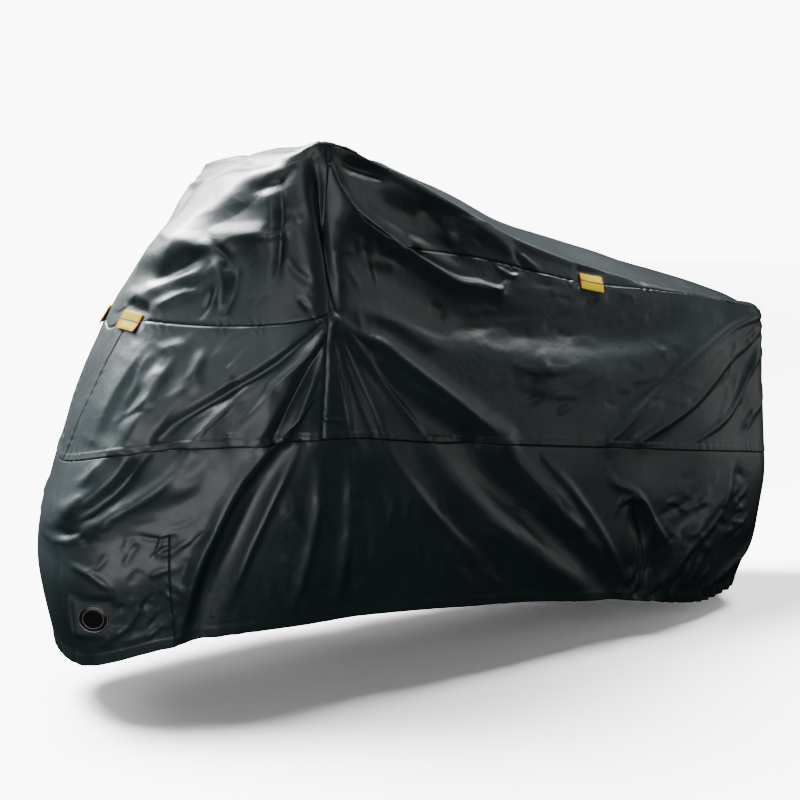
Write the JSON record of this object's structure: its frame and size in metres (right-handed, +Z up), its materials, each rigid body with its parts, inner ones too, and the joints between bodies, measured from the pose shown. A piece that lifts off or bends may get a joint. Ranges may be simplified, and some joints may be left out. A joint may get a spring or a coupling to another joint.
{
  "type": "motorcycle cover",
  "caption": "Fitted weather cover for a motorcycle, draped from the handlebars over the seat, with lock eyelets, reflective tabs and an elastic hem.",
  "frame": {"origin": "middle of the cover's bounding box in plan, level with the lowest point of the hem", "axes": "+X from the nose to the tail, -Y to the left side, +Z up"},
  "size_m": [2.0748, 0.7956, 1.2055],
  "materials": {
    "coated_cloth": "glossy coated polyester, near-black slate",
    "lock_cloth": "glossy coated polyester, double layer",
    "seam_binding": "satin black bias binding",
    "black_plastic": "satin-gloss black plastic",
    "yellow_tape": "yellow reflective tape"
  },
  "bodies": {
    "root": {"skirt": "coated_cloth", "front_panel": "coated_cloth", "side_front_left": "coated_cloth", "side_front_right": "coated_cloth", "side_rear_left": "coated_cloth", "side_rear_right": "coated_cloth", "rear_panel": "coated_cloth", "top_panel": "coated_cloth", "seam_piping": "seam_binding", "lock_patch_left": "lock_cloth", "lock_patch_right": "lock_cloth", "lock_eyelet_left": "black_plastic", "lock_eyelet_right": "black_plastic", "tab_front_left": "yellow_tape", "tab_front_right": "yellow_tape", "tab_rear_left": "yellow_tape", "tab_rear_right": "yellow_tape"}
  },
  "joints": []
}
